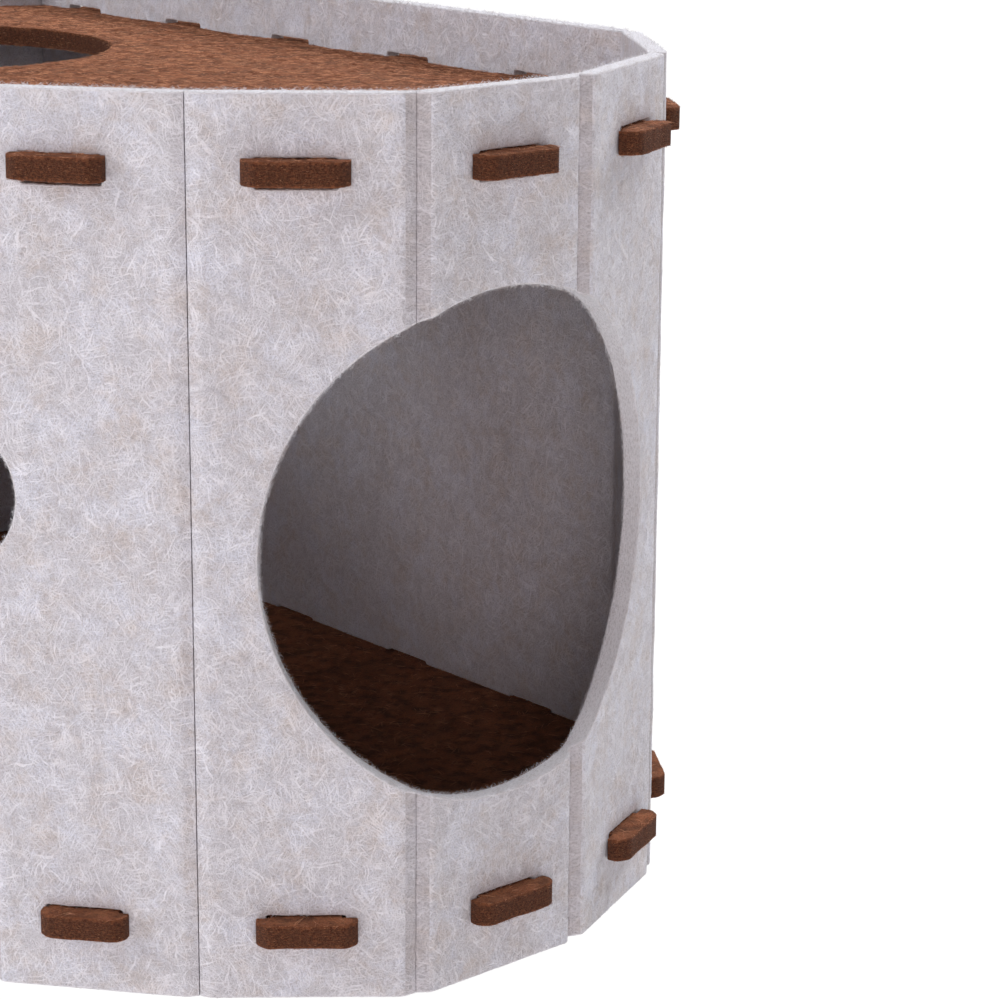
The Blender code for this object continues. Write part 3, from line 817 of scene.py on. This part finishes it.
def makeWallStrip():
    # columns of points crowd at the creases, where the lines keep the folds straight
    bends = house["grooveHalf"] + groove["shoulder"] - groove["slitTo"]
    bends = np.concatenate(([0.0], groove["slitTo"] + bends * np.array(walls["bends"])))
    creaseLines = (flatStarts[1:7, None] + np.concatenate((-bends[:0:-1], bends))).ravel()
    lows = flatStarts[:7] + bends[-1] * (np.arange(7) > 0)
    highs = flatStarts[1:] - bends[-1] * (np.arange(7) < 6)
    between = [np.linspace(low, high, max(2, int((high - low) / walls["spacing"])) + 1)[1:-1]
               for low, high in zip(lows, highs)]
    columns = np.sort(np.concatenate((creaseLines, *between, [0.0, stripLength])))
    doorAt = (flatStarts[3] + flatStarts[4]) / 2 + door["pastMiddle"]
    peepholeAt = flatStarts[1] - peephole["beforeCrease"]
    holes = [roundHole(at, hole["height"], hole["diameter"], hole["spacing"], creaseLines)
             for at, hole in ((doorAt, door), (peepholeAt, peephole))]
    for tabs, height, seed in ((plan["topTabs"], house["topBoard"], 101),
                               (plan["floorTabs"], house["floorBoard"], 100)):
        centres = np.concatenate([flatStarts[k] - takenUp[k] + tabs[k] for k in range(7)])
        holes += [slotHole(centre, height, seed + 10 * k) for k, centre in enumerate(centres)]
    outer, thick, r = straightEdge(columns, rows), house["wallThick"], edge["light"]
    lines = [(x, r, house["wallHeight"] - r) for x in creaseLines]
    # flat points well inside a groove take the groove's felt, whose darker ground is partly painted shade
    wall = feltPlate("wallStrip", outer, holes, (columns, rows), lines, foldStrip, thick, r,
                     [lightFace, lightCut, grooveFeltAndShade], walls["relief"],
                     lambda flat: fromCrease(flat) < house["grooveHalf"] - walls["grooveFeltAndShade"])
    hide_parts("wall_strip")
    wall.data.set_sharp_from_angle(angle=math.radians(walls["sharp"]))
    strandPieces("wallFibres", "light_felt", lightFibre, *gather(
        *coat(walls, walls["fibre"], outer, holes, foldStrip, 51,
              lambda flat: fromCrease(flat) < walls["bareBy"])))
    upper = house["wallHeight"] - walls["upperRim"]
    strandPieces("wallFringe", "light_felt", lightFibre, *gather(
        fringe(walls["rimFringe"], outer, foldStrip, thick, r, 53,
               lambda place: np.where(place[:, 1] > upper, walls["upperShare"], walls["lowerShare"])),
        fringe(walls["doorFringe"], holes[0], foldStrip, thick, r, 54),
        fringe(walls["peepholeFringe"], holes[1], foldStrip, thick, r, 55),
        *(fringe(walls["slotFringe"], hole, foldStrip, thick, r, 200 + k)
          for k, hole in enumerate(holes[2:]))))


def makeEndPanel():
    # the flat panel stands between the two sides
    low = house["wallThick"] + house["seatGap"]
    high = plan["lengths"][7] - low
    columns = np.linspace(low, high, int((high - low) / walls["spacing"]) + 1)
    holes = [slotHole(centre, height, seed + 10 * k) for k, centre in enumerate(plan["topTabs"][7])
             for height, seed in ((house["topBoard"], 401), (house["floorBoard"], 400))]
    outer, thick, r = straightEdge(columns, rows), house["wallThick"], edge["light"]
    panel = feltPlate("endPanel", outer, holes, (columns, rows), [], standEnd, thick, r,
                      [lightFace, lightCut], endWall["relief"])
    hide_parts("end_panel")
    strandPieces("endFibres", "light_felt", lightFibre, *gather(
        *coat(endWall, walls["fibre"], outer, holes, standEnd, 61)))
    strandPieces("endFringe", "light_felt", lightFibre, *gather(
        fringe(endWall["rimFringe"], outer, standEnd, thick, r, 63),
        *(fringe(walls["slotFringe"], hole, standEnd, thick, r, 300 + k) for k, hole in enumerate(holes))))


# The boards. The corners of a tab are rounded from its neck to its tip, and a trim takes a little off the two
# ends of the heads on one stretch of wall, as the cutting did
boards = dict(spacing=2.8 * mm, edgeSpacing=1.5 * mm, steps=5, unsteady=0.09 * mm, corner=1.5 * mm,
              tabCorners=(0.6 * mm, 0.5 * mm, 0.9 * mm, 6.0 * mm, 6.0 * mm), fibre=(3.5 * mm, 10.0 * mm),
              holeFringe=(10.0, (2.2 * mm, 1.1 * mm), 0.10 * mm, 0.3))
upperBoard = dict(height=house["topBoard"], rise=house["topRise"], tabs=plan["topTabs"],
                  trims={1: (0.6 * mm, 2.1 * mm)}, relief=31, outside=(23000, 0.17 * mm, 0.55 * mm),
                  inside=(3000, 0.16 * mm, 0.30 * mm), fringe=(9.0, (1.5 * mm, 0.55 * mm), 0.10 * mm, 0.22))
lowerBoard = dict(height=house["floorBoard"], rise=0.0, tabs=plan["floorTabs"],
                  trims={1: (3.3 * mm, 1.3 * mm), 2: (0.8 * mm, 0.0)}, relief=51,
                  outside=(6000, 0.17 * mm, 0.55 * mm), inside=(1500, 0.16 * mm, 0.30 * mm),
                  fringe=(6.0, (1.5 * mm, 0.55 * mm), 0.10 * mm, 0.22))


def boardOutline(tabs, trims):
    # the walls' inside less the seat gap, with a hammerhead for every slot, counter-clockwise, and how round
    # each corner is
    setBack = house["wallThick"] + house["seatGap"]
    neck, head, tip = tab["neck"] / 2, tab["head"] / 2, tab["play"] + tab["depth"]
    half = [(neck, -setBack), (neck, tab["play"]), (head, tab["play"]), (head, tip - tab["chamfer"]),
            (head - tab["chamfer"], tip)]
    run = np.array([(-across, outwards) for across, outwards in half] + half[::-1])
    points, radii = [], []
    for k in range(8):
        start, along, out = plan["starts"][k], plan["along"][k], plan["out"][k]
        points.append((start + along * setBack * halfTurns[k] - out * setBack)[None])
        radii.append(boards["corner"])
        before, after = trims.get(k, (0.0, 0.0))
        for centre in tabs[k]:
            across = run[:, 0].copy()
            across[2:5] += before
            across[5:8] -= after
            points.append(start + along * (centre + across)[:, None] + out * run[:, 1:])
            radii += boards["tabCorners"] + boards["tabCorners"][::-1]
    return np.vstack(points), np.array(radii)


def makeBoard(name, node, look, holes):
    outline, radii = boardOutline(look["tabs"], look["trims"])
    loop, seed = roundedLoop(outline, radii, boards["edgeSpacing"], boards["steps"]), look["relief"]
    base = wobble(loop, boards["unsteady"], seed)
    grid = [np.arange(base[:, k].min(), base[:, k].max(), boards["spacing"]) for k in (0, 1)]
    place, thick, r = layBoard(look["height"], look["rise"]), house["boardThick"], edge["brown"]

    def outer(inset):
        return setIn(base, inset)
    board = feltPlate(name, outer, holes, grid, [], place, thick, r, [brownFace, brownCut], seed)
    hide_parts(node)
    strandPieces(name + "Fibres", "brown_felt", brownFibre, *gather(
        *coat(look, boards["fibre"], outer, holes, place, seed + 3)))
    strandPieces(name + "Fringe", "brown_felt", brownFibre, *gather(
        fringe(look["fringe"], outer, place, thick, r, seed + 5),
        *(fringe(boards["holeFringe"], hole, place, thick, r, seed + 6 + k)
          for k, hole in enumerate(holes))))


makeWallStrip()
makeEndPanel()
print("walls stand")
hatchHole = roundHole(plan["starts"][7][0] + hatch["fromEnd"], -hatch["toFront"], hatch["diameter"],
                      hatch["spacing"])
makeBoard("topBoard", "top_board", upperBoard, [hatchHole])
makeBoard("floorBoard", "floor_board", lowerBoard, [])
print("boards lie in their slots")
